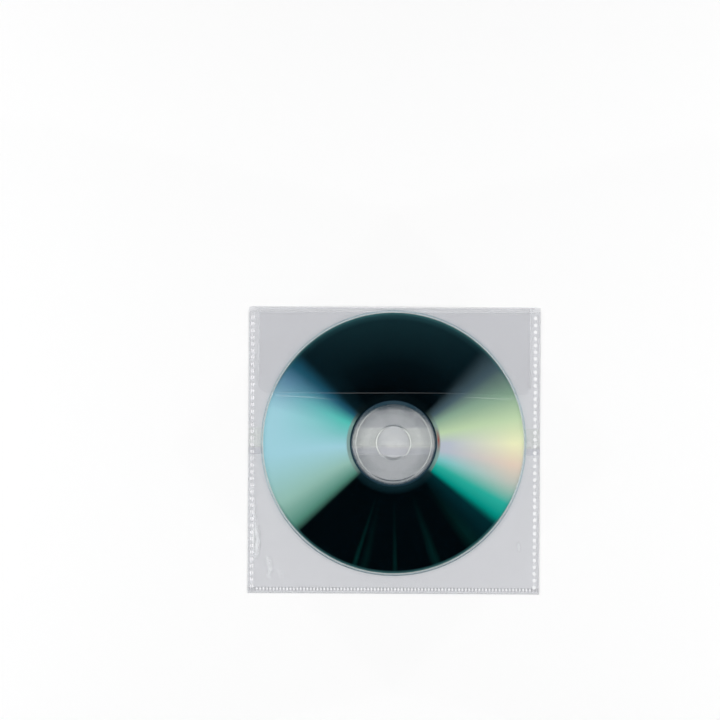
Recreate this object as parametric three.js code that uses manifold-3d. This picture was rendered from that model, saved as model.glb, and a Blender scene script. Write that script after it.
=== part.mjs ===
import * as THREE from 'three';
import { mergeVertices } from 'three/addons/utils/BufferGeometryUtils.js';
import Module from 'manifold-3d';

// A clear film sleeve for one compact disc, lying on its back with the disc in it.
// Millimetres, +Z up, +Y towards the folded top edge, +X to the right.
// The origin is under the middle of the sleeve, on the surface that it lies on.

// Disc: one clear moulding, data side up
const DISC_DIAMETER = 120;
const DISC_THICKNESS = 1.2;
const DISC_HOLE_DIAMETER = 15;
const DISC_EDGE_BREAK = 0.15;
const HOLE_CHAMFER = 0.4;
const STACKING_RING_DIAMETER = 34;
const STACKING_RING_WIDTH = 0.9;
const STACKING_RING_HEIGHT = 0.2;
const DISC_FACETS = 96;

// Film, and how much of it stands out past the disc
const FILM_THICKNESS = 0.12;
const SIDE_ROOM = 5.8;
const TOP_ROOM = 1.45;
const BOTTOM_ROOM = 8.05;
const DISC_SLIP = -0.3;

// Flap: cut in one with the back sheet, folded over the disc and tucked behind the front sheet
const FLAP_DEPTH = 39;
const FLAP_INSET = 4.4;
const FLAP_CORNER = 3.6;
const SHOULDER_DROP = 0.3;
const MOUTH_DROP = 2;

// Welds: rows of pressed beads along both sides and the bottom
const SEAM_INSET = 1.9;
const SIDE_BEAD = { across: 1.8, along: 1.9, pitch: 3.037, facets: 8 };
const BOTTOM_BEAD = { across: 1.4, along: 0.8, pitch: 1.523, facets: 6 };
const BEAD_HEIGHT = 0.12;
const BEAD_CROWN = 0.55;
const FIRST_BEAD_DROP = 2.9;
const WELD_TOLERANCE = 0.002;

// Self-adhesive strip across the back, with a liner that is wider than the tape
const TAPE_WIDTH = 9;
const TAPE_THICKNESS = 0.09;
const LINER_WIDTH = 12;
const LINER_THICKNESS = 0.06;
const STRIP_DROP = 54.75;

// How the film lies: air between two films, and how it comes down round the disc
const FILM_GAP = 0.08;
const RIM_CLEARANCE = 0.45;
const POCKET_WALL = 0.9;
const DRAPE_REACH = 16;
const RIM_STEP = THREE.MathUtils.degToRad(9);
const FOLD_STEPS = 8;
const SLOPE_SHARES = [0.16, 0.36, 0.6, 0.82];

// Plan of the sleeve
const discRadius = DISC_DIAMETER / 2;
const sleeveWidth = DISC_DIAMETER + 2 * SIDE_ROOM;
const sleeveHeight = DISC_DIAMETER + TOP_ROOM + BOTTOM_ROOM;
const sideX = sleeveWidth / 2;
const foldY = sleeveHeight / 2;
const bottomY = -sleeveHeight / 2;
const mouthY = foldY - MOUTH_DROP;
const discX = DISC_SLIP;
const discY = foldY - TOP_ROOM - discRadius;
const rimRadius = discRadius + RIM_CLEARANCE;
const seamX = sideX - SEAM_INSET - SIDE_BEAD.across / 2;
const seamY = bottomY + SEAM_INSET + BOTTOM_BEAD.across / 2;
const flapX = sideX - FLAP_INSET;
const flapEndY = foldY - FLAP_DEPTH;

// Heights of the stack, from the surface that the sleeve lies on
const backUnderZ = LINER_THICKNESS + TAPE_THICKNESS;
const backTopZ = backUnderZ + FILM_THICKNESS;
const lowRise = FILM_THICKNESS + 2 * FILM_GAP;
const highRise = DISC_THICKNESS + Math.max(FILM_THICKNESS, STACKING_RING_HEIGHT) + FILM_GAP;

// 1 over the disc, falling to 0 at the weld line or at the drape's reach
function drape(x, y) {
  const beyondRim = Math.max(0, Math.hypot(x - discX, y - discY) - rimRadius);
  const toSeam = Math.max(0, Math.min(seamX - Math.abs(x), y - seamY));
  const reach = Math.min(DRAPE_REACH, toSeam + beyondRim);
  const rise = beyondRim === 0 ? 1 : Math.max(0, 1 - beyondRim / reach);
  return rise * rise * (3 - 2 * rise);
}

function frontUnderZ(x, y) {
  const toSeam = Math.min(seamX - Math.abs(x), y - seamY);
  const wall = THREE.MathUtils.clamp(toSeam / POCKET_WALL, 0, 1);
  return backTopZ + wall * lowRise + drape(x, y) * (highRise - lowRise);
}

function flapUnderZ(x, y) {
  const over = drape(x, y);
  return backTopZ + over * DISC_THICKNESS + (1 - over) * FILM_GAP;
}

// Half the width over which a sheet lies on the disc, at height y of the plan
function restHalfWidth(y) {
  const chord = Math.sqrt(Math.max(0, rimRadius ** 2 - (y - discY) ** 2));
  return Math.max(chord, rimRadius * Math.sin(RIM_STEP));
}

// Plan heights at even steps round the disc's rim, between two limits
function rimRows(low, high) {
  const rows = [];
  const steps = Math.round(Math.PI / RIM_STEP);
  for (let i = 0; i <= steps; i += 1) {
    const y = discY + rimRadius * Math.sin(i * RIM_STEP - Math.PI / 2);
    if (y > low && y < high) rows.push(y);
  }
  return rows;
}

// Places across a row: its middle, the disc's rim, the slope beside it, the given edges
function columns(restHalf, slopeEnd, edges) {
  const half = Math.min(restHalf, slopeEnd - Math.abs(discX) - 1);
  const side = (way) => {
    const rim = discX * way + half;
    const slope = SLOPE_SHARES.map((share) => rim + share * (slopeEnd - rim));
    return [rim, ...slope, ...edges].map((x) => way * x);
  };
  return [...side(-1).reverse(), discX, ...side(1)];
}

// A closed sheet between two grids of points that match row by row
function closedSheet(under, over) {
  const rows = under.length;
  const cols = under[0].length;
  const points = [...under.flat(), ...over.flat()];
  const at = (layer, row, col) => layer * rows * cols + row * cols + col;
  const faces = [];
  const quad = (a, b, c, d) => {
    const shortFirst = points[a].distanceTo(points[c]) <= points[b].distanceTo(points[d]);
    if (shortFirst) faces.push(a, b, c, a, c, d);
    else faces.push(a, b, d, b, c, d);
  };
  for (let row = 0; row < rows - 1; row += 1) {
    for (let col = 0; col < cols - 1; col += 1) {
      quad(at(0, row, col), at(0, row + 1, col), at(0, row + 1, col + 1), at(0, row, col + 1));
      quad(at(1, row, col), at(1, row, col + 1), at(1, row + 1, col + 1), at(1, row + 1, col));
    }
    const last = cols - 1;
    quad(at(0, row, 0), at(1, row, 0), at(1, row + 1, 0), at(0, row + 1, 0));
    quad(at(0, row, last), at(0, row + 1, last), at(1, row + 1, last), at(1, row, last));
  }
  for (let col = 0; col < cols - 1; col += 1) {
    const last = rows - 1;
    quad(at(0, 0, col), at(0, 0, col + 1), at(1, 0, col + 1), at(1, 0, col));
    quad(at(0, last, col), at(1, last, col), at(1, last, col + 1), at(0, last, col + 1));
  }
  const geometry = new THREE.BufferGeometry().setFromPoints(points);
  geometry.setIndex(faces);
  return geometry;
}

const wasm = await Module();
wasm.setup();

function toSolid(geometry) {
  const bare = geometry.clone();
  bare.deleteAttribute('normal');
  bare.deleteAttribute('uv');
  const merged = mergeVertices(bare);
  return new wasm.Manifold(new wasm.Mesh({
    numProp: 3,
    vertProperties: new Float32Array(merged.attributes.position.array),
    triVerts: new Uint32Array(merged.index.array),
  }));
}

function toGeometry(solid) {
  const mesh = solid.getMesh();
  const geometry = new THREE.BufferGeometry();
  geometry.setAttribute('position', new THREE.BufferAttribute(mesh.vertProperties, 3));
  geometry.setIndex(new THREE.BufferAttribute(mesh.triVerts, 1));
  return geometry;
}

// Release liner and tape: two flat strips, level at their upper edge
function strip(width, thickness, baseZ) {
  const geometry = new THREE.BoxGeometry(sleeveWidth, width, thickness);
  geometry.translate(0, foldY - STRIP_DROP - width / 2, baseZ + thickness / 2);
  return geometry;
}

// Half the width of the flap, by how far along the film it is past the shoulder
function flapHalfWidth(past, length) {
  if (past <= 0) return sideX;
  if (past < FLAP_INSET) return sideX - Math.sqrt(FLAP_INSET ** 2 - (FLAP_INSET - past) ** 2);
  const intoCorner = Math.max(0, past - (length - FLAP_CORNER));
  return flapX - FLAP_CORNER + Math.sqrt(Math.max(0, FLAP_CORNER ** 2 - intoCorner ** 2));
}

// Back sheet and flap: one film, flat under the disc, round the fold, and down over the disc
function backSheet() {
  const outerBend = (x) => (flapUnderZ(x, mouthY) + FILM_THICKNESS - backUnderZ) / 2;
  const edgeBend = outerBend(flapX);
  const bendFilm = Math.PI * (edgeBend - FILM_THICKNESS / 2);
  const beforeBend = SHOULDER_DROP - edgeBend;
  const pastBend = beforeBend + bendFilm;
  const flapFilm = pastBend + FLAP_DEPTH - edgeBend;
  const inner = [];
  const outer = [];
  const addRow = (halfWidth, rest, place) => {
    const across = columns(rest, halfWidth, [halfWidth]);
    const placed = across.map((x) => place(x));
    inner.push(placed.map((pair) => pair[0]));
    outer.push(placed.map((pair) => pair[1]));
  };
  const flatPair = (x, y) => [new THREE.Vector3(x, y, backTopZ), new THREE.Vector3(x, y, backUnderZ)];
  const topRest = restHalfWidth(foldY);
  addRow(sideX, topRest, (x) => flatPair(x, bottomY));
  addRow(sideX, topRest, (x) => flatPair(x, foldY - outerBend(x) - beforeBend));

  for (let step = 0; step <= FOLD_STEPS; step += 1) {
    const angle = (Math.PI * step) / FOLD_STEPS;
    const past = beforeBend + (bendFilm * step) / FOLD_STEPS;
    addRow(flapHalfWidth(past, flapFilm), topRest, (x) => {
      const bend = outerBend(x);
      const on = (radius) => new THREE.Vector3(
        x,
        foldY - bend + radius * Math.sin(angle),
        backUnderZ + bend - radius * Math.cos(angle),
      );
      return [on(bend - FILM_THICKNESS), on(bend)];
    });
  }

  const flapPair = (x, y, z) => [new THREE.Vector3(x, y, z), new THREE.Vector3(x, y, z + FILM_THICKNESS)];
  const pastAt = (y) => pastBend + foldY - edgeBend - y;
  for (const share of [0.12, 0.35, 0.65]) {
    const edgeY = THREE.MathUtils.lerp(foldY - edgeBend, mouthY, share);
    addRow(flapHalfWidth(pastAt(edgeY), flapFilm), topRest, (x) => {
      const y = THREE.MathUtils.lerp(foldY - outerBend(x), mouthY, share);
      return flapPair(x, y, flapUnderZ(x, mouthY));
    });
  }
  const filletEndY = foldY - edgeBend + pastBend - FLAP_INSET;
  const cornerY = [0, Math.PI / 6, Math.PI / 3, Math.PI / 2].map(
    (angle) => flapEndY + FLAP_CORNER * (1 - Math.sin(angle)),
  );
  const flapRows = [
    mouthY,
    (mouthY + filletEndY) / 2,
    filletEndY,
    ...rimRows(cornerY[0] + 1, filletEndY - 1).reverse(),
    ...cornerY,
  ];
  for (const y of flapRows) {
    addRow(flapHalfWidth(pastAt(y), flapFilm), restHalfWidth(y), (x) => flapPair(x, y, flapUnderZ(x, y)));
  }
  return closedSheet(outer, inner);
}

// A bead: a low dome that the welding wheel leaves, flat on top
function bead(size, x, y, turned) {
  const sunk = FILM_THICKNESS / 2;
  const geometry = new THREE.CylinderGeometry(BEAD_CROWN, 1, BEAD_HEIGHT + sunk, size.facets);
  geometry.rotateX(Math.PI / 2);
  const wide = turned ? size.along : size.across;
  const long = turned ? size.across : size.along;
  geometry.scale(wide / 2, long / 2, 1);
  geometry.translate(x, y, backTopZ + FILM_THICKNESS + (BEAD_HEIGHT - sunk) / 2);
  return toSolid(geometry);
}

function beadRow(size, start, end, place) {
  const count = Math.floor(Math.abs(end - start) / size.pitch) + 1;
  const way = Math.sign(end - start);
  return Array.from({ length: count }, (_, i) => place(start + way * i * size.pitch));
}

// Front sheet: draped over the disc and the flap, flat where it is welded to the back sheet
function frontSheet() {
  const lowRows = [bottomY, seamY, seamY + POCKET_WALL];
  const rimBottomY = discY - rimRadius;
  const betweenRows = [1 / 3, 2 / 3].map(
    (share) => THREE.MathUtils.lerp(seamY + POCKET_WALL, rimBottomY, share),
  );
  const rows = [...lowRows, ...betweenRows, ...rimRows(rimBottomY - 1, mouthY - 1), mouthY];
  const under = rows.map((y) => {
    const across = columns(restHalfWidth(y), flapX, [flapX, seamX - POCKET_WALL, seamX, sideX]);
    return across.map((x) => new THREE.Vector3(x, y, frontUnderZ(x, y)));
  });
  const over = under.map((row) => row.map((p) => p.clone().setZ(p.z + FILM_THICKNESS)));
  const beads = [];
  for (const side of [-1, 1]) {
    const x = side * (sideX - SEAM_INSET);
    const end = bottomY + SEAM_INSET + SIDE_BEAD.along / 2;
    beads.push(...beadRow(SIDE_BEAD, mouthY - FIRST_BEAD_DROP, end, (y) => bead(SIDE_BEAD, x, y, false)));
  }
  const innerX = sideX - SEAM_INSET - SIDE_BEAD.across / 2 - BOTTOM_BEAD.along;
  const count = Math.floor((2 * innerX) / BOTTOM_BEAD.pitch);
  const startX = (-count * BOTTOM_BEAD.pitch) / 2;
  const weldY = bottomY + SEAM_INSET;
  beads.push(...beadRow(BOTTOM_BEAD, startX, innerX, (x) => bead(BOTTOM_BEAD, x, weldY, true)));
  const welded = beads.reduce((sheet, one) => sheet.add(one), toSolid(closedSheet(under, over)));
  return toGeometry(welded.asOriginal().simplify(WELD_TOLERANCE));
}

// Disc: a turned profile with a broken edge, a chamfered hole and the stacking ring on the data side
function disc() {
  const hole = DISC_HOLE_DIAMETER / 2;
  const ring = STACKING_RING_DIAMETER / 2;
  const halfRing = STACKING_RING_WIDTH / 2;
  const crest = STACKING_RING_WIDTH / 6;
  const profile = [
    [hole, HOLE_CHAMFER],
    [hole + HOLE_CHAMFER, 0],
    [discRadius - DISC_EDGE_BREAK, 0],
    [discRadius, DISC_EDGE_BREAK],
    [discRadius, DISC_THICKNESS - DISC_EDGE_BREAK],
    [discRadius - DISC_EDGE_BREAK, DISC_THICKNESS],
    [ring + halfRing, DISC_THICKNESS],
    [ring + crest, DISC_THICKNESS + STACKING_RING_HEIGHT],
    [ring - crest, DISC_THICKNESS + STACKING_RING_HEIGHT],
    [ring - halfRing, DISC_THICKNESS],
    [hole + HOLE_CHAMFER, DISC_THICKNESS],
    [hole, DISC_THICKNESS - HOLE_CHAMFER],
    [hole, HOLE_CHAMFER],
  ].map(([radius, height]) => new THREE.Vector2(radius, height));
  const geometry = new THREE.LatheGeometry(profile, DISC_FACETS);
  geometry.rotateX(Math.PI / 2);
  geometry.translate(discX, discY, backTopZ);
  return geometry;
}

const sleeve = new THREE.Group();

function addPiece(name, geometry, color, roughness, metalness, opacity) {
  const transparent = opacity < 1;
  const material = new THREE.MeshStandardMaterial({ color, roughness, metalness, transparent, opacity });
  geometry.computeVertexNormals();
  const mesh = new THREE.Mesh(geometry, material);
  mesh.name = name;
  sleeve.add(mesh);
}

addPiece('release_liner', strip(LINER_WIDTH, LINER_THICKNESS, 0), 0xd4d9e2, 0.5, 0, 0.6);
addPiece('adhesive_tape', strip(TAPE_WIDTH, TAPE_THICKNESS, LINER_THICKNESS), 0xe4e3dc, 0.6, 0, 0.6);
addPiece('back_sheet', backSheet(), 0xcfd1d6, 0.15, 0, 0.45);
addPiece('disc', disc(), 0x123436, 0.12, 0.6, 1);
addPiece('front_sheet', frontSheet(), 0xd6d8dd, 0.12, 0, 0.3);

export default sleeve;
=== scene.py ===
import math

import bpy
import numpy as np
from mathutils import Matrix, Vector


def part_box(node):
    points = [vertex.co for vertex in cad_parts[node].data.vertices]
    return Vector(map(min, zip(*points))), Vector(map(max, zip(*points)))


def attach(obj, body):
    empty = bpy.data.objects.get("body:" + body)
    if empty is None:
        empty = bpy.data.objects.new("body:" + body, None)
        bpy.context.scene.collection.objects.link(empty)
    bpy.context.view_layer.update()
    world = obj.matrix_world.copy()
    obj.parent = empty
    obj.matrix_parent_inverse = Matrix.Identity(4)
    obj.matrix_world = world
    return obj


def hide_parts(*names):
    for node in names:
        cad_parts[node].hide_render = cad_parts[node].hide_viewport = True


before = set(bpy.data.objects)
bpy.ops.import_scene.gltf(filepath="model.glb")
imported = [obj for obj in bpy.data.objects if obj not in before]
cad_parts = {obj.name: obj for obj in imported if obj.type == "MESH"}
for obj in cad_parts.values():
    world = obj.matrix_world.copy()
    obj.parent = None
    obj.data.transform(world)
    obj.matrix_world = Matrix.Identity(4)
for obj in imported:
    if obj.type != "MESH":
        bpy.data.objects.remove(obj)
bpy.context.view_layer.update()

# The release liner. A thin, slightly bluish release film that lies over the adhesive tape, under
# the sleeve. It is 3 mm wider than the tape, which leaves an edge to lift it by.
MM = 0.001


class Value:
    """A shader socket that takes part in expressions. Each operator adds a Math node."""

    def __init__(self, socket):
        self.socket = socket

    def math(self, operation, *others, clamp=False):
        tree = self.socket.node.id_data
        node = tree.nodes.new("ShaderNodeMath")
        node.operation = operation
        node.use_clamp = clamp
        for place, given in enumerate([self, *others]):
            if isinstance(given, Value):
                tree.links.new(given.socket, node.inputs[place])
            else:
                node.inputs[place].default_value = given
        return Value(node.outputs[0])

    def __abs__(self):
        return self.math("ABSOLUTE")

    def __add__(self, other):
        return self.math("ADD", other)

    __radd__ = __add__

    def __mul__(self, other):
        return self.math("MULTIPLY", other)

    __rmul__ = __mul__

    def __sub__(self, other):
        return self.math("SUBTRACT", other)

    def __rsub__(self, first):
        tree = self.socket.node.id_data
        node = tree.nodes.new("ShaderNodeMath")
        node.operation = "SUBTRACT"
        node.inputs[0].default_value = first
        tree.links.new(self.socket, node.inputs[1])
        return Value(node.outputs[0])

    def __truediv__(self, other):
        return self.math("DIVIDE", other)

    def __pow__(self, other):
        return self.math("POWER", other)

    def most(self, *others):
        """The greatest of this value and the others."""
        greatest = self
        for other in others:
            greatest = greatest.math("MAXIMUM", other)
        return greatest

    def step(self, start, end):
        """0 at start and 1 at end, with an even rise between them."""
        return ((self - start) / (end - start)).math("ADD", 0.0, clamp=True)

    def peak(self, middle, half_width):
        """1 at the middle, and 0 from half_width on."""
        return 1 - abs(self - middle).step(0.0, half_width)


class Finish:
    """The nodes of a material, or of the world, with one method that adds any node."""

    def __init__(self, holder):
        self.holder = holder
        holder.use_nodes = True
        self.tree = holder.node_tree
        self.tree.nodes.clear()

    def add(self, kind, settings=None, sockets=None, output=0):
        node = self.tree.nodes.new("ShaderNode" + kind)
        for key, given in (settings or {}).items():
            if key == "stops":
                ramp = node.color_ramp
                while len(ramp.elements) < len(given):
                    ramp.elements.new(0.5)
                for element, (place, color) in zip(ramp.elements, given):
                    element.position = place
                    element.color = color
            else:
                setattr(node, key, given)
        for key, given in (sockets or {}).items():
            if isinstance(given, Value):
                self.tree.links.new(given.socket, node.inputs[key])
            else:
                node.inputs[key].default_value = given
        return Value(node.outputs[output]) if len(node.outputs) else None

    def axes(self, system):
        """X, Y and Z in one of the systems that a Texture Coordinate node gives."""
        place = self.add("TexCoord", output=system)
        split = self.add("SeparateXYZ", sockets={0: place}).socket.node
        return [Value(part) for part in split.outputs]

    def blend(self, share, first, second):
        """A colour: the first where share is 0, and the second where it is 1."""
        return self.add("Mix", {"data_type": "RGBA"}, {0: share, 6: first, 7: second}, output=2)

    def layer(self, share, first, second):
        """A shader: the first where share is 0, and the second where it is 1."""
        return self.add("MixShader", sockets={0: share, 1: first, 2: second})


def ink(red, green, blue):
    """A colour as it is seen, from 0 to 255, turned into the light that it gives back."""
    def light(part):
        part = part / 255
        return part / 12.92 if part <= 0.04045 else ((part + 0.055) / 1.055) ** 2.4
    return (light(red), light(green), light(blue), 1.0)


FILM_IOR = 1.45
PALE_MILK = (235, 237, 240)
GRAIN_SCALE = 90.0
GRAIN_DEPTH = 0.05 * MM


def clear_film(finish, passes, roughness, haze_and_highlight=0.0, haze_and_highlight_ink=PALE_MILK, grain=0.0, shine=1.4,
               patches=()):
    """Thin film: what is behind it shows, less a little at each face, under a sharp gloss.

    passes is the light that a face lets through, and each patch is a mask and what passes there.
    Both faces of a film reflect, so shine is above 1, and near 0 where adhesive fills the gap.
    """
    gloss = {"Color": (1, 1, 1, 1), "Roughness": roughness}
    if grain:
        noise = finish.add("TexNoise", sockets={"Scale": GRAIN_SCALE, "Detail": 2.0})
        gloss["Normal"] = finish.add(
            "Bump", sockets={"Strength": grain, "Distance": GRAIN_DEPTH, "Height": noise}
        )
    clear = finish.add("BsdfTransparent", sockets={"Color": passes})
    for mask, patch_passes in patches:
        patch = finish.add("BsdfTransparent", sockets={"Color": patch_passes})
        clear = finish.layer(mask, clear, patch)
    # A flat white mixed into the film: real haze on some films, painted highlights and pale lines on
    # others.
    haze_and_highlight_layer = finish.add("BsdfDiffuse", sockets={"Color": ink(*haze_and_highlight_ink)})
    body = finish.layer(haze_and_highlight, clear, haze_and_highlight_layer)
    mirror = finish.add("BsdfAnisotropic", sockets=gloss)
    facing = 1 - finish.add("NewGeometry", output="Backfacing")
    share = finish.add("Fresnel", sockets={"IOR": FILM_IOR}) * facing * shine
    return finish.layer(share, body, mirror)


def dress(piece, finish, shader):
    """Ends the finish in this shader and puts it on the piece."""
    finish.add("OutputMaterial", sockets={"Surface": shader})
    piece.data.materials.append(finish.holder)


def put_in(name, data):
    """A new object in the scene."""
    thing = bpy.data.objects.new(name, data)
    bpy.context.scene.collection.objects.link(thing)
    return thing


def meshed(name, points, faces, sharp_from):
    """A smooth object, with sharp edges from this angle on, in degrees."""
    mesh = bpy.data.meshes.new(name)
    mesh.from_pydata(points, [], faces)
    mesh.shade_smooth()
    mesh.set_sharp_from_angle(angle=math.radians(sharp_from))
    return put_in(name, mesh)


def closed_sheet(name, under, over):
    """A closed mesh between two grids of points that match, given as rows, columns, XYZ."""
    rows, cols = under.shape[:2]
    at = np.arange(rows * cols).reshape(rows, cols)
    top = at + rows * cols

    def quads(a, b, c, d):
        return np.stack([a, b, c, d], -1).reshape(-1, 4)

    faces = [
        quads(at[:-1, :-1], at[1:, :-1], at[1:, 1:], at[:-1, 1:]),
        quads(top[:-1, :-1], top[:-1, 1:], top[1:, 1:], top[1:, :-1]),
        quads(at[:-1, 0], top[:-1, 0], top[1:, 0], at[1:, 0]),
        quads(at[:-1, -1], at[1:, -1], top[1:, -1], top[:-1, -1]),
        quads(at[0, :-1], at[0, 1:], top[0, 1:], top[0, :-1]),
        quads(at[-1, :-1], top[-1, :-1], top[-1, 1:], at[-1, 1:]),
    ]
    points = np.concatenate([under.reshape(-1, 3), over.reshape(-1, 3)])
    return meshed(name, points.tolist(), np.concatenate(faces).tolist(), 50)


def flat_strip(name, low, high):
    """A closed strip that fills the box from low to high."""
    x, y = np.meshgrid(np.linspace(low.x, high.x, 41), np.linspace(low.y, high.y, 4))
    under = np.stack([x, y, low.z + 0 * x], -1)
    over = np.stack([x, y, high.z + 0 * x], -1)
    return closed_sheet(name, under, over)


liner_low, liner_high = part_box("release_liner")
liner_strip = flat_strip("liner_strip", liner_low, liner_high)
liner = Finish(bpy.data.materials.new("liner_film"))
dress(liner_strip, liner, clear_film(liner, (0.985, 0.988, 1.0, 1), 0.3, haze_and_highlight=0.03, shine=0.4))
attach(liner_strip, "root")
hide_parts("release_liner")

# The adhesive tape. Clear film with adhesive on both faces, which makes it a little milky. It is
# stuck along the back sheet and holds the liner.
tape_low, tape_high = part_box("adhesive_tape")
tape_strip = flat_strip("tape_strip", tape_low, tape_high)
tape = Finish(bpy.data.materials.new("tape_film"))
tape_shader = clear_film(
    tape, (1.0, 1.0, 0.99, 1), 0.35, haze_and_highlight=0.02, haze_and_highlight_ink=(250, 252, 244), shine=0.1
)
dress(tape_strip, tape, tape_shader)
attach(tape_strip, "root")
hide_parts("adhesive_tape")

# The back sheet and flap. One soft polypropylene film, cut to shape and folded over at the top:
# flat under the disc, round the fold, and down over the disc behind the front sheet.
disc_low, disc_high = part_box("disc")
back_low, back_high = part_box("back_sheet")
front_low, front_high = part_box("front_sheet")
FILM = 0.12 * MM
FILM_GAP = 0.08 * MM
DISC_THICKNESS = 1.2 * MM
RIM_CLEARANCE = 0.45 * MM
DRAPE_REACH = 16 * MM
SIDE_WELD_BAND = 2.8 * MM
BOTTOM_WELD_BAND = 2.6 * MM
FLAP_INSET = 4.4 * MM
FLAP_DEPTH = 39 * MM
FLAP_CORNER = 3.6 * MM
SHOULDER_DROP = 0.3 * MM

disc_x = (disc_low.x + disc_high.x) / 2
disc_y = (disc_low.y + disc_high.y) / 2
disc_radius = (disc_high.x - disc_low.x) / 2
rim_radius = disc_radius + RIM_CLEARANCE
side_x = back_high.x
fold_y = back_high.y
bottom_y = back_low.y
mouth_y = front_high.y
seam_x = side_x - SIDE_WELD_BAND
seam_y = bottom_y + BOTTOM_WELD_BAND
flap_x = side_x - FLAP_INSET
flap_end_y = fold_y - FLAP_DEPTH
back_under_z = back_low.z
back_top_z = back_under_z + FILM

# How far along the film, from the shoulders, the fold starts and ends, and how long the flap is.
# At the sides, where no disc lifts the flap, the fold is as tight as the films let it be.
edge_bend = (FILM_GAP + 2 * FILM) / 2
bend_film = math.pi * (edge_bend - FILM / 2)
before_bend = SHOULDER_DROP - edge_bend
past_bend = before_bend + bend_film
flap_film = past_bend + FLAP_DEPTH - edge_bend


def drape(x, y):
    """1 over the disc, falling to 0 at the weld line or at the drape's reach."""
    beyond_rim = np.maximum(0, np.hypot(x - disc_x, y - disc_y) - rim_radius)
    to_seam = np.maximum(0, np.minimum(seam_x - np.abs(x), y - seam_y))
    reach = np.maximum(1e-9, np.minimum(DRAPE_REACH, to_seam + beyond_rim))
    rise = np.where(beyond_rim == 0, 1, np.maximum(0, 1 - beyond_rim / reach))
    return rise * rise * (3 - 2 * rise)


def flap_under_z(x, y):
    over = drape(x, y)
    return back_top_z + over * DISC_THICKNESS + (1 - over) * FILM_GAP


def bend_at(x):
    """The fold's outer radius, which follows the disc under it."""
    return (flap_under_z(x, mouth_y) + FILM - back_under_z) / 2


def flap_half_width(past):
    """Half the flap's width, by how far along the film a row is past the shoulder."""
    if past <= 0:
        return side_x
    if past < FLAP_INSET:
        return side_x - math.sqrt(FLAP_INSET ** 2 - (FLAP_INSET - past) ** 2)
    into_corner = max(0.0, past - (flap_film - FLAP_CORNER))
    return flap_x - FLAP_CORNER + math.sqrt(max(0.0, FLAP_CORNER ** 2 - into_corner ** 2))


ACROSS = np.linspace(-1, 1, 111)
outer_rows, inner_rows = [], []


def add_row(half_width, place):
    """One row of the folded sheet. place gives Y and Z for a row of X, at a depth in the film."""
    x = half_width * ACROSS
    for rows, depth in ((outer_rows, 0), (inner_rows, FILM)):
        y, z = place(x, depth)
        rows.append(np.stack([x, y + 0 * x, z + 0 * x], -1))


FLAT_ROWS = 41
for share in np.linspace(0, 1, FLAT_ROWS):
    def flat_part(x, depth):
        y = bottom_y + share * (fold_y - bend_at(x) - before_bend - bottom_y)
        return y, back_under_z + depth

    add_row(side_x, flat_part)
FOLD_STEPS = 16
for step in range(FOLD_STEPS + 1):
    angle = math.pi * step / FOLD_STEPS

    def fold_part(x, depth):
        bend = bend_at(x)
        y = fold_y - bend + (bend - depth) * math.sin(angle)
        return y, back_under_z + bend - (bend - depth) * math.cos(angle)

    add_row(flap_half_width(before_bend + bend_film * step / FOLD_STEPS), fold_part)
MOUTH_STEPS = 8
for step in range(1, MOUTH_STEPS):
    share = step / MOUTH_STEPS
    edge_y = fold_y - edge_bend + share * (mouth_y - fold_y + edge_bend)

    def mouth_part(x, depth):
        start = fold_y - bend_at(x)
        return start + share * (mouth_y - start), flap_under_z(x, mouth_y) + FILM - depth

    add_row(flap_half_width(past_bend + fold_y - edge_bend - edge_y), mouth_part)

# The flap's free edge isn't quite straight: it sways a little and drops towards the right.
SWAY = 0.22 * MM
SWAY_TURN = 62.0
SWAY_START = 0.6
SWAY_TILT = -0.004
SWAY_REACH = 20 * MM
FLAP_ROWS = 34
CORNER_TURNS = 9


def end_sway(x, y):
    """How far the flap strays from straight, less and less from its free edge to the fold."""
    near_end = np.clip(1 - (y - flap_end_y) / SWAY_REACH, 0, 1)
    return near_end * (SWAY * np.sin(x * SWAY_TURN + SWAY_START) + SWAY_TILT * x)


corner_rows = flap_end_y + FLAP_CORNER * (1 - np.sin(np.linspace(0, math.pi / 2, CORNER_TURNS)))
for row_y in [*np.linspace(mouth_y, corner_rows[0], FLAP_ROWS)[:-1], *corner_rows]:
    def flap_part(x, depth):
        return row_y + end_sway(x, row_y), flap_under_z(x, row_y) + FILM - depth

    add_row(flap_half_width(past_bend + fold_y - edge_bend - row_y), flap_part)
back_sheet = closed_sheet("back_film", np.array(outer_rows), np.array(inner_rows))


def from_hub(x, y):
    """X and Y from the disc's middle, in metres, and the distance from it in millimetres."""
    x = x - disc_x
    y = y - disc_y
    return x, y, (x * x + y * y).math("SQRT") / MM


FILM_GLOSS = 0.08
FILM_GRAIN = 0.06
FILM_HIGHLIGHT = (246, 248, 250)
TAPE_EDGE = 0.2 * MM
back = Finish(bpy.data.materials.new("back_film"))
x, y, z = back.axes("Object")

# The adhesive fills the film's grain, so the back is clearer there. In the disc's hole the film lets
# less through: painted shade for the moulding's shadow, most at its lower edge. Radii are in
# millimetres.
wetted = y.step(tape_low.y - TAPE_EDGE, tape_low.y + TAPE_EDGE)
wetted = wetted * y.step(tape_high.y + TAPE_EDGE, tape_high.y - TAPE_EDGE)
from_x, from_y, radius = from_hub(x, y)
in_hole = radius.step(7.6, 7.3)
painted_hole_shade = in_hole * (radius.step(2.0, 5.0) * 0.25 + 0.2)
painted_hole_arc_shade = radius.peak(7.1, 0.7) * (from_y / radius / MM).step(-0.8, -1.0) * 2
patches = (
    (wetted, (0.955, 0.958, 0.954, 1)),
    (painted_hole_shade, (0.86, 0.868, 0.88, 1)),
    (painted_hole_arc_shade, (0.74, 0.75, 0.76, 1)),
)
# On the table the film lets less through than the same film folded over: painted shade for the shade
# on the table beneath it.
shaded_on_table = clear_film(back, (0.935, 0.937, 0.945, 1), FILM_GLOSS, grain=FILM_GRAIN, patches=patches)
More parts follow.
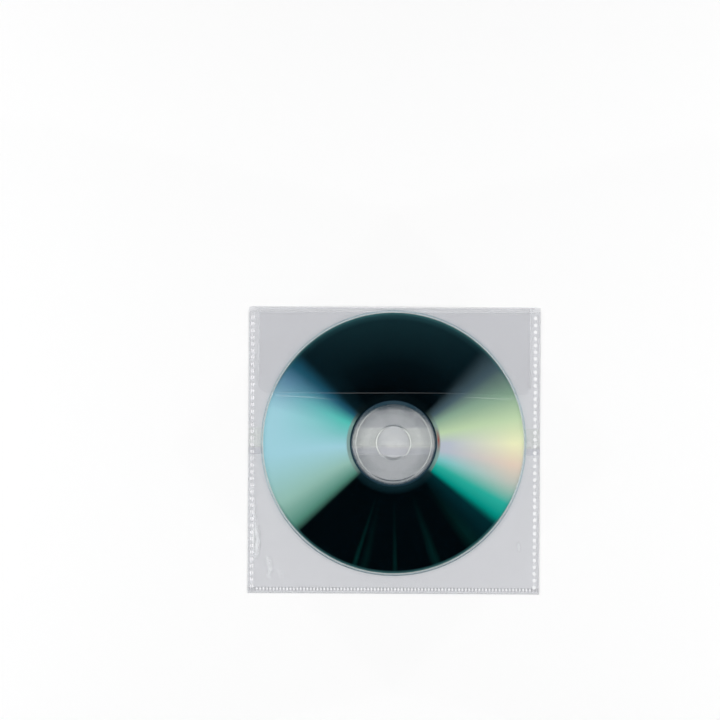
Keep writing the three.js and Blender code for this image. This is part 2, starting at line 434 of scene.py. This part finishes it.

# The cut edges of the flap and the crest of its fold carry painted highlights as thin pale lines. The
# line along the free edge is strongest at the left.
cut_side = abs(abs(x) - flap_x).step(0.3 * MM, 0.1 * MM) * 0.2
sway = (x * SWAY_TURN + SWAY_START).math("SINE") * SWAY
from_end = y - flap_end_y - sway - x * SWAY_TILT
cut_end = from_end.step(0.2 * MM, 0.05 * MM) * (0.1 - x * 1.2)
crest = abs(y - (fold_y - 0.35 * MM)).step(0.35 * MM, 0.1 * MM) * 0.25
flap_highlight = cut_side.most(cut_end, crest)
folded_over = clear_film(
    back, (0.993, 0.993, 0.995, 1), FILM_GLOSS, haze_and_highlight=flap_highlight, haze_and_highlight_ink=FILM_HIGHLIGHT, grain=FILM_GRAIN
)
flap_starts = z.step(back_top_z + 0.01 * MM, back_top_z + 0.06 * MM)
dress(back_sheet, back, back.layer(flap_starts, shaded_on_table, folded_over))
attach(back_sheet, "root")
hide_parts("back_sheet")

# The disc. One clear polycarbonate moulding, with a chamfered hole and a stacking ring on its data
# side. Its dye and mirror layer, near the label side, is dark teal and splits light into colours.
TURN_STEPS = 256
HOLE_RADIUS = 7.5 * MM
HOLE_CHAMFER = 0.4 * MM
EDGE_BREAK = 0.15 * MM
RING_RADIUS = 17 * MM
RING_HALF = 0.45 * MM
RING_HEIGHT = 0.2 * MM
DYE_INNER = 19 * MM
DYE_OUTER = 58.9 * MM
DYE_DEPTH = 0.05 * MM
LABEL_SKIN = 0.04 * MM


def turned(name, profile):
    """A closed ring, turned from a closed profile of radius and height."""
    angles = np.arange(TURN_STEPS) * 2 * math.pi / TURN_STEPS
    profile = np.array(profile)
    count = len(profile)
    radius = profile[:, 0]
    points = np.stack([
        disc_x + np.cos(angles)[:, None] * radius,
        disc_y + np.sin(angles)[:, None] * radius,
        disc_low.z + 0 * angles[:, None] + profile[:, 1],
    ], -1).reshape(-1, 3)
    faces = []
    for i in range(TURN_STEPS):
        here, there = i * count, (i + 1) % TURN_STEPS * count
        for j in range(count):
            k = (j + 1) % count
            faces.append((here + j, there + j, there + k, here + k))
    return meshed(name, points.tolist(), faces, 30)


def arc_profile(radius, height, across, up, end, count):
    """Profile points on an arc about a radius and height, from outwards round to the end angle."""
    return [
        (radius + across * math.cos(t), height + up * math.sin(t)) for t in np.linspace(0, end, count)
    ]


top = DISC_THICKNESS
edge_round = arc_profile(
    disc_radius - EDGE_BREAK, top - EDGE_BREAK, EDGE_BREAK, EDGE_BREAK, math.pi / 2, 5
)
disc_body = turned("disc_body", [
    (HOLE_RADIUS, HOLE_CHAMFER),
    (HOLE_RADIUS + HOLE_CHAMFER, 0),
    (disc_radius - EDGE_BREAK, 0),
    (disc_radius, EDGE_BREAK),
    *edge_round,
    *arc_profile(RING_RADIUS, top, RING_HALF, RING_HEIGHT, math.pi, 9),
    (HOLE_RADIUS + HOLE_CHAMFER, top),
    (HOLE_RADIUS, top - HOLE_CHAMFER),
])
clear = Finish(bpy.data.materials.new("disc_clear"))
x, y, z = clear.axes("Object")
from_x, from_y, radius = from_hub(x, y)
upward = from_y / radius / MM

# The stacking ring, the hole's chamfer and the rim carry painted highlights as pale lines, the first
# two brightest to the left and right. The rim itself is faintly aqua. All radii here are in
# millimetres.
upright = (abs(from_y) / RING_RADIUS).math("MINIMUM", 1.0)
ring_highlight = radius.peak(17.05, 0.25) * (0.9 - upright.step(0.55, 0.95) * 0.75)
sideways = 1 - (abs(from_y) / HOLE_RADIUS).step(0.45, 0.95)
hole_highlight = radius.peak(7.7, 0.4) * (sideways * 0.9 + 0.1)
rim_highlight = radius.peak(59.1, 0.4) * 0.4
rim_band = radius.step(58.9, 59.2) * radius.step(60.1, 59.9)
body_shader = clear_film(
    clear, (0.993, 0.997, 0.994, 1), 0.03, haze_and_highlight=ring_highlight.most(hole_highlight, rim_highlight),
    haze_and_highlight_ink=(252, 255, 250), shine=1.0, patches=((rim_band, (0.91, 0.985, 1.0, 1)),),
)

# Painted shade and painted dark reflection: a dark diffuse colour where the moulding bends the dark
# of the room or of the dye into view, a little all over the hub except over the strip, much by the
# dye's inner edge, and along the ring's upper side.
STRIP_EDGE = 0.3 * MM
over_strip = y.step(liner_low.y - STRIP_EDGE, liner_low.y)
over_strip = over_strip * y.step(liner_high.y + STRIP_EDGE, liner_high.y)
on_tape = y.step(tape_low.y - TAPE_EDGE, tape_low.y + TAPE_EDGE)
strip_part = over_strip * (on_tape * 0.4 + 0.6)
outer_hub = radius.step(12, 15.5) * 0.07 * (1 - from_y.step(-11 * MM, -15 * MM))
upper_hub = y.step(8 * MM, 22 * MM)
painted_hub_shade = (1 - strip_part) * (0.115 + upper_hub * 0.045) + strip_part * 0.03 + outer_hub
to_dye = radius.step(17.6, 19.3)
painted_dye_edge_shade = to_dye * (to_dye + (1 - to_dye) * upright)
over_ring = upward.step(0.35, 0.9) * radius.step(16.7, 17.8) * 0.88
inside_ring = upward.step(0.7, 1.0) * radius.step(13.9, 17.6) * 0.72
low_ring = radius.peak(17.05, 0.45) * from_y.step(-12 * MM, -17 * MM) * 0.75
hub_part = radius.step(19.25, 19.1)
painted_hub_shade = painted_hub_shade.most(painted_dye_edge_shade, over_ring.most(inside_ring), low_ring) * hub_part
# Painted shade by the hole's upper edge and along the rim, more on the rim's lower side.
hole_top = radius.peak(8.0, 0.42) * upward.step(0.7, 1.0) * 0.32
low_rim = from_y.step(-20 * MM, -45 * MM)
painted_rim_shade = rim_band * (0.03 + low_rim * 0.1) + radius.peak(59.8, 0.35) * (0.08 + low_rim * 0.16)
painted_shade_layer = clear.add("BsdfDiffuse", sockets={"Color": ink(45, 70, 83)})
disc_shader = clear.layer(painted_hub_shade + painted_rim_shade + hole_top, body_shader, painted_shade_layer)
dress(disc_body, clear, disc_shader)
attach(disc_body, "root")
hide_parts("disc")

dye_layer = turned("disc_dye_layer", [
    (DYE_INNER, LABEL_SKIN),
    (DYE_OUTER, LABEL_SKIN),
    (DYE_OUTER, LABEL_SKIN + DYE_DEPTH),
    (DYE_INNER, LABEL_SKIN + DYE_DEPTH),
])
dye = Finish(bpy.data.materials.new("disc_dye"))
x, y, z = dye.axes("Object")
x, y, radius = from_hub(x, y)
upward = y / radius / MM
turn = (y.math("ARCTAN2", x) / (2 * math.pi)).math("WRAP", 1.0, 0.0)

SEEN_SHARE = 0.826


def lit(shade):
    """The colour in the layer, when this much of its light comes out through the films."""
    return tuple(min(1.0, part / SEEN_SHARE) for part in shade[:3]) + (1.0,)


def stops(*pairs):
    """Ramp stops from pairs of an angle in degrees and a colour."""
    return [(angle / 360, lit(ink(*color))) for angle, color in pairs]


# Painted reflection: the mirror throws the light of two sides back as two fans of colour, with dark
# between them, and these are painted into the layer's colour. The angles go round from the right,
# over the top. The fans differ a little between hub and rim. The stops are placed one by one, in
# colours set by tones that were read off the photograph there.
BLACK = (1, 7, 11)
DUSK = (8, 28, 35)
DEEP_TEAL = (2, 42, 48)
TEAL = (2, 143, 130)
JADE = (46, 172, 157)
TURQUOISE = (84, 190, 180)
SEA = (34, 88, 110)
STEEL = (98, 142, 168)
AQUA = (128, 195, 196)
SKY = (161, 207, 218)
MOSS = (148, 189, 178)
FERN = (82, 136, 120)
SLATE = (74, 94, 103)
SAGE = (138, 168, 146)
CELERY = (190, 212, 174)
LEMON = (236, 236, 194)
ROSE = (224, 204, 187)
LILAC = (184, 190, 202)
PALE = (192, 195, 186)
near_hub = dye.add("ValToRGB", {"stops": stops(
    (0, LILAC),
    (12, CELERY),
    (26, SAGE),
    (35, SLATE),
    (44.5, BLACK),
    (124, BLACK),
    (138.5, DUSK),
    (145, SEA),
    (156, TURQUOISE),
    (171, AQUA),
    (184, SKY),
    (204, MOSS),
    (218, FERN),
    (223.7, BLACK),
    (308, BLACK),
    (321.5, DEEP_TEAL),
    (325.3, TEAL),
    (333, JADE),
    (341, AQUA),
    (351, LILAC),
    (360, LILAC),
)}, {0: turn})
near_rim = dye.add("ValToRGB", {"stops": stops(
    (0, LEMON),
    (12, CELERY),
    (23, SAGE),
    (36, SLATE),
    (47, DUSK),
    (136, DUSK),
    (143, SEA),
    (150, STEEL),
    (165, SKY),
    (186, SKY),
    (208, MOSS),
    (219.5, FERN),
    (223.5, BLACK),
    (308, BLACK),
    (321.5, DEEP_TEAL),
    (325.3, TEAL),
    (332, JADE),
    (342, PALE),
    (350, ROSE),
    (360, LEMON),
)}, {0: turn})
fans = dye.blend(radius.step(25, 54), near_hub, near_rim)
light_part = dye.add("RGBToBW", sockets={0: near_hub})

# Faint painted streaks of reflected colour in the lower dark part: angle and half width in degrees,
# and strength.
STREAKS = (
    (252.5, 1.44, 0.45),
    (257, 2.52, 0.16),
    (271, 1.44, 0.25),
    (290, 2.88, 0.28),
    (309, 5.04, 0.3),
)
streaks = sum(turn.peak(angle / 360, half / 360) * strength for angle, half, strength in STREAKS)
streaked = dye.blend(streaks * radius.step(24, 52), fans, ink(4, 62, 58))

# Painted light: a pale painted sheen over the upper dark part, a painted highlight along the rim, and
# by the hub the mirror band coloured as painted reflection, a painted red glint to the right, and a
# ring of painted shade, darkest at the top.
inner_sheen = upward.step(0.7, 1.0) * radius.step(36, 60) * 0.27
outer_sheen = upward.step(0.55, 0.9) * radius.step(55.5, 59) * 0.8
painted_sheen = (inner_sheen + outer_sheen) * (1 - light_part.step(0.02, 0.2))
sheened = dye.blend(painted_sheen, streaked, ink(46, 86, 92))
rim = radius.step(57.6, 58.7) * 0.75 * (1 - light_part.step(0.1, 0.5) * 0.85)
rimmed = dye.blend(rim, sheened, ink(70, 118, 120))
dark_part = light_part.step(0.1, 0.02)
dark_band = dye.blend(y.step(8 * MM, -8 * MM), lit(ink(3, 13, 18)), lit(ink(13, 38, 45)))
band_color = dye.blend(light_part.step(0.0, 0.5), dark_band, lit(ink(132, 156, 150)))
band = radius.step(21.4, 21.0) * (1 - dark_part) + radius.step(23.4, 20.4) * dark_part
banded = dye.blend(band * 0.85, rimmed, band_color)
glint = radius.peak(20.4, 0.9) * y.peak(1.5 * MM, 6 * MM) * x.step(0, 5 * MM)
glinting = dye.blend(glint, banded, ink(170, 70, 60))
inner_edge_shade = dye.blend(y.step(10 * MM, 0.0), lit(ink(4, 16, 24)), lit(ink(38, 60, 72)))
data_side = dye.blend(radius.step(19.85, 19.55), glinting, inner_edge_shade)
dye_middle_z = disc_low.z + LABEL_SKIN + DYE_DEPTH / 2
label_part = z.step(dye_middle_z + DYE_DEPTH * 0.1, dye_middle_z - DYE_DEPTH * 0.1)
dye_shader = dye.add("BsdfPrincipled", sockets={
    "Base Color": dye.blend(label_part, data_side, ink(196, 198, 200)),
    "Roughness": 0.35,
    "Specular IOR Level": 0.0,
})
dress(dye_layer, dye, dye_shader)
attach(dye_layer, "root")

# The front sheet. The same soft film, welded to the back sheet along both sides and the bottom. It
# drapes over the disc and the flap, and its free upper edge is the pocket's mouth.
POCKET_WALL = 0.9 * MM
low_rise = FILM + 2 * FILM_GAP
high_rise = front_high.z - FILM - back_top_z

# Each crease has a start and an end, a sway, a half width and a height, all in millimetres.
CREASES = (
    ((-62.2, -24.0), (-61.6, -47.5), 0.5, 1.6, 0.12),
    ((61.6, -35.5), (56.4, -51.5), 0.8, 2.0, 0.05),
    ((57.8, -54.6), (52.4, -58.6), 0.6, 1.8, 0.05),
)


def front_under_z(x, y):
    to_seam = np.minimum(seam_x - np.abs(x), y - seam_y)
    wall = np.clip(to_seam / POCKET_WALL, 0, 1)
    return back_top_z + wall * low_rise + drape(x, y) * (high_rise - low_rise)


def along_line(x, y, start, end):
    """How far points are along a line, as a share of it, and to its side."""
    line_x, line_y = end[0] - start[0], end[1] - start[1]
    length = math.hypot(line_x, line_y)
    share = ((x - start[0]) * line_x + (y - start[1]) * line_y) / length ** 2
    aside = ((x - start[0]) * line_y - (y - start[1]) * line_x) / length
    return share, aside


def crease(x, y, start, end, sway, half_width, height):
    """A raised fold along a slightly swaying line from start to end."""
    share, aside = along_line(x, y, start, end)
    aside = aside - sway * np.sin(math.pi * share)
    ends = np.clip(np.minimum(share, 1 - share) * 4, 0, 1)
    ridge = np.clip(1 - np.abs(aside) / half_width, 0, 1)
    return height * ends * ridge * ridge * (3 - 2 * ridge)


# The sheet's columns and rows, in millimetres, are closest where the creases are.
PLAIN_FROM_X, PLAIN_TO_X, PLAIN_FROM_Y = -52, 50, -20
columns = [
    *np.linspace(-side_x / MM, PLAIN_FROM_X, 30, endpoint=False),
    *np.linspace(PLAIN_FROM_X, PLAIN_TO_X, 85, endpoint=False),
    *np.linspace(PLAIN_TO_X, 65, 26),
    side_x / MM,
]
rows = [*np.arange(bottom_y / MM, PLAIN_FROM_Y, 0.7), *np.linspace(PLAIN_FROM_Y, mouth_y / MM, 76)]
grid_x, grid_y = np.meshgrid(columns, rows)
sheet_z = front_under_z(grid_x * MM, grid_y * MM)
for line in CREASES:
    sheet_z += crease(grid_x, grid_y, *line) * MM
front_sheet = closed_sheet(
    "front_film",
    np.stack([grid_x * MM, grid_y * MM, sheet_z], -1),
    np.stack([grid_x * MM, grid_y * MM, sheet_z + FILM], -1),
)

# Painted highlights: pale strokes where the film is creased, at the lower left most of all, and four
# faint lines under the flap's edge. Each has a start and an end, a half width, all in millimetres,
# and a strength.
STROKES = (
    ((-63.2, -18.0), (-63.1, -38.0), 1.0, 0.6),
    ((-62.9, -30.0), (-61.4, -44.5), 2.3, 0.8),
    ((-61.3, -36.0), (-62.3, -50.0), 2.3, 0.8),
    ((-63.4, -28.0), (-63.4, -51.0), 1.6, 1.0),
    ((-57.6, -47.6), (-54.8, -55.0), 2.6, 0.36),
    ((-54.8, -50.6), (-56.8, -59.0), 2.4, 0.3),
    ((-53.0, -53.6), (-48.3, -59.0), 2.8, 0.12),
    ((56.1, -40.5), (57.0, -46.0), 1.6, 0.12),
    ((-59.0, 25.2), (-24.0, 22.6), 0.3, 0.16),
    ((-58.0, 24.4), (-30.0, 23.8), 0.3, 0.14),
    ((29.0, 24.2), (55.0, 23.4), 0.3, 0.18),
    ((44.0, 23.0), (58.0, 24.0), 0.3, 0.16),
)
front = Finish(bpy.data.materials.new("front_film"))
x, y, z = front.axes("Object")
from_edge = (side_x - abs(x)).math("MINIMUM", y - bottom_y)
# Painted highlights along the cut edges and at the mouth.
edge_line = from_edge.peak(0.35 * MM, 0.22 * MM) * 0.25
mouth_line = y.peak(mouth_y - 0.2 * MM, 0.25 * MM) * 0.2
front_highlight = edge_line.most(mouth_line)
for start, end, half_width, strength in STROKES:
    share, aside = along_line(x / MM, y / MM, start, end)
    profile = aside.peak(0.0, half_width)
    front_highlight = front_highlight.most(profile * profile * share.peak(0.5, 0.5) * strength)
front_shader = clear_film(
    front, (0.991, 0.992, 0.994, 1), FILM_GLOSS, haze_and_highlight=front_highlight, haze_and_highlight_ink=FILM_HIGHLIGHT,
    grain=FILM_GRAIN,
)

# Painted shade: the film is grey between the bottom beads and along its cut edges.
BOTTOM_INSET = 1.9 * MM
BOTTOM_PITCH = 1.523 * MM
BOTTOM_GAPS = 81
between = (x / BOTTOM_PITCH + BOTTOM_GAPS / 2).math("PINGPONG", 0.5) * 2
painted_weld_shade = y.peak(bottom_y + BOTTOM_INSET, 1.1 * MM).step(0.0, 0.5) * (0.02 + between * 0.13)
painted_cut_edge_shade = from_edge.step(0.18 * MM, 0.04 * MM) * 0.35
grey = front.add("BsdfDiffuse", sockets={"Color": ink(120, 122, 128)})
dress(front_sheet, front, front.layer(painted_cut_edge_shade.most(painted_weld_shade), front_shader, grey))
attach(front_sheet, "root")
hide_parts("front_sheet")

# The weld beads. Low domes that a toothed bar pressed in the two films where it welded them: one
# row along each side, from below the mouth, and a closer one along the bottom.
LEFT_INSET = 1.7 * MM
RIGHT_INSET = 2.25 * MM
BEAD_HEIGHT = 0.12 * MM
FIRST_BEAD_DROP = 2.9 * MM
SIDE_PITCH = 3.037 * MM
SIDE_BEAD = (1.8 * MM, 1.9 * MM)
BOTTOM_BEAD = (0.9 * MM, 1.3 * MM)
BEAD_TURNS = 14
BEAD_RINGS = 4
bead_points, bead_faces = [], []


def add_bead(x, y, size):
    """A closed low dome whose flat base lies inside the film."""
    first = len(bead_points)
    wide, long = size
    for ring in range(BEAD_RINGS):
        lift = math.pi / 2 * ring / BEAD_RINGS
        dome_z = back_top_z + FILM + BEAD_HEIGHT * math.sin(lift)
        for bead_step in range(BEAD_TURNS):
            angle = 2 * math.pi * bead_step / BEAD_TURNS
            bead_points.append((
                x + wide / 2 * math.cos(lift) * math.cos(angle),
                y + long / 2 * math.cos(lift) * math.sin(angle),
                dome_z if ring else back_top_z + FILM / 2,
            ))
    tip = len(bead_points)
    bead_points.append((x, y, back_top_z + FILM + BEAD_HEIGHT))
    for ring in range(BEAD_RINGS - 1):
        under = first + ring * BEAD_TURNS
        over = under + BEAD_TURNS
        for i in range(BEAD_TURNS):
            j = (i + 1) % BEAD_TURNS
            bead_faces.append((under + i, under + j, over + j, over + i))
    last = tip - BEAD_TURNS
    for i in range(BEAD_TURNS):
        bead_faces.append((last + i, last + (i + 1) % BEAD_TURNS, tip))
    bead_faces.append(tuple(first + i for i in reversed(range(BEAD_TURNS))))


side_length = mouth_y - FIRST_BEAD_DROP - (bottom_y + BOTTOM_INSET + SIDE_BEAD[1] / 2)
for i in range(int(side_length / SIDE_PITCH) + 1):
    bead_y = mouth_y - FIRST_BEAD_DROP - i * SIDE_PITCH
    add_bead(LEFT_INSET - side_x, bead_y, SIDE_BEAD)
    add_bead(side_x - RIGHT_INSET, bead_y, SIDE_BEAD)
for i in range(BOTTOM_GAPS + 1):
    add_bead((i - BOTTOM_GAPS / 2) * BOTTOM_PITCH, bottom_y + BOTTOM_INSET, BOTTOM_BEAD)
weld_beads = meshed("weld_beads", bead_points, bead_faces, 60)
weld_beads.visible_shadow = False

# The beads' crowns are white, partly the frosted weld and partly painted highlight. Those at the left
# are split along their middle by a clearer line, which parts the painted highlights on their two
# slopes.
beads = Finish(bpy.data.materials.new("weld_beads"))
x, y, z = beads.axes("Object")
crown = z.step(back_top_z + FILM * 0.9, back_top_z + FILM)
inset = LEFT_INSET + x.step(-1 * MM, 1 * MM) * (RIGHT_INSET - LEFT_INSET)
aside = abs(abs(x) - side_x + inset)
split = aside.step(0.35 * MM, 0.15 * MM) * x.step(1 * MM, -1 * MM) * 0.55
side_mark = aside.step(0.9 * MM, 0.8 * MM) * (1 - split)
bottom_mark = aside.step(0.95 * MM, 1.0 * MM)
bead_shader = clear_film(
    beads, (0.9, 0.9, 0.91, 1), 0.12, haze_and_highlight=crown * side_mark.most(bottom_mark) * 0.97,
    haze_and_highlight_ink=(252, 252, 254),
)
dress(weld_beads, beads, bead_shader)
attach(weld_beads, "root")

# The floor. A plain white table top, which isn't part of the sleeve. To the camera, and in gloss
# and glass, it glows a little, so that it shows as white.
FLOOR_HALF = 7.0
FLOOR_GLOW = 0.09
floor_mesh = bpy.data.meshes.new("floor")
floor_corners = [(across * FLOOR_HALF, up * FLOOR_HALF, 0) for across, up in
                 ((-1, -1), (1, -1), (1, 1), (-1, 1))]
floor_mesh.from_pydata(floor_corners, [], [(0, 1, 2, 3)])
floor = put_in("floor", floor_mesh)
white = Finish(bpy.data.materials.new("floor"))
paint = white.add("BsdfDiffuse", sockets={"Color": (0.9, 0.9, 0.9, 1)})
glow = white.add("Emission", sockets={"Color": (1, 1, 1, 1), "Strength": FLOOR_GLOW})
glowing = white.add("AddShader", sockets={0: paint, 1: glow})
seen = white.add("LightPath", output="Is Camera Ray").most(
    white.add("LightPath", output="Is Glossy Ray"),
    white.add("LightPath", output="Is Transmission Ray"),
)
dress(floor, white, white.layer(seen, paint, glowing))

# The light. Two soft boxes, one to each side, in a pale room with a dark ceiling. The wide boxes
# light the things, and the dim ones in them are the only lamps that the gloss reflects.
LAMP_AWAY = 1.0
LAMP_LIFT = math.radians(42)
LAMP_WIDTH = 0.9
LAMP_LENGTH = 1.4
for name, power, in_gloss in (("soft_box", 9.4, False), ("gloss_box", 1.1, True)):
    for side in (-1, 1):
        light = bpy.data.lights.new(name, "AREA")
        light.shape = "RECTANGLE"
        light.size = LAMP_WIDTH
        light.size_y = LAMP_LENGTH
        light.energy = power
        lamp = put_in(name, light)
        lamp.location = (side * LAMP_AWAY * math.cos(LAMP_LIFT), 0, LAMP_AWAY * math.sin(LAMP_LIFT))
        lamp.rotation_euler = (0, side * (math.pi / 2 - LAMP_LIFT), 0)
        lamp.visible_camera = False
        lamp.visible_glossy = in_gloss

ROOM_GREY = (0.8, 0.8, 0.8, 1)
room = Finish(bpy.data.worlds.new("room"))
x, y, z = room.axes("Generated")
room_light = (1 - z.step(0.0, 0.75)) ** 1.5 * 0.86 + 0.005
room.add("OutputWorld", sockets={
    "Surface": room.add("Background", sockets={"Color": ROOM_GREY, "Strength": room_light}),
})
scene = bpy.context.scene
scene.world = room.holder
scene.cycles.transparent_max_bounces = 32
scene.view_settings.view_transform = "Standard"

# The camera. It looks straight down on the sleeve, as the photograph does, through a long lens.
# Where the sleeve's middle stands in the picture, in pixels, sets the camera's place.
PHOTO_PIXELS = 720
PIXELS_PER_MM = 2.213
SLEEVE_PIXEL = (394.1, 450.3)
SLEEVE_TURN = math.radians(0.33)
CAMERA_HEIGHT = 1.5
SENSOR_WIDTH = 36
camera_data = bpy.data.cameras.new("camera")
camera_data.sensor_width = SENSOR_WIDTH
camera_data.lens = SENSOR_WIDTH * CAMERA_HEIGHT / (PHOTO_PIXELS / PIXELS_PER_MM * MM)
camera_data.clip_end = 20
camera = put_in("camera", camera_data)
right = (PHOTO_PIXELS / 2 - SLEEVE_PIXEL[0]) / PIXELS_PER_MM * MM
up = (SLEEVE_PIXEL[1] - PHOTO_PIXELS / 2) / PIXELS_PER_MM * MM
turn_cos, turn_sin = math.cos(SLEEVE_TURN), math.sin(SLEEVE_TURN)
camera.location = (right * turn_cos - up * turn_sin, right * turn_sin + up * turn_cos, CAMERA_HEIGHT)
camera.rotation_euler = (0, 0, SLEEVE_TURN)
scene.camera = camera
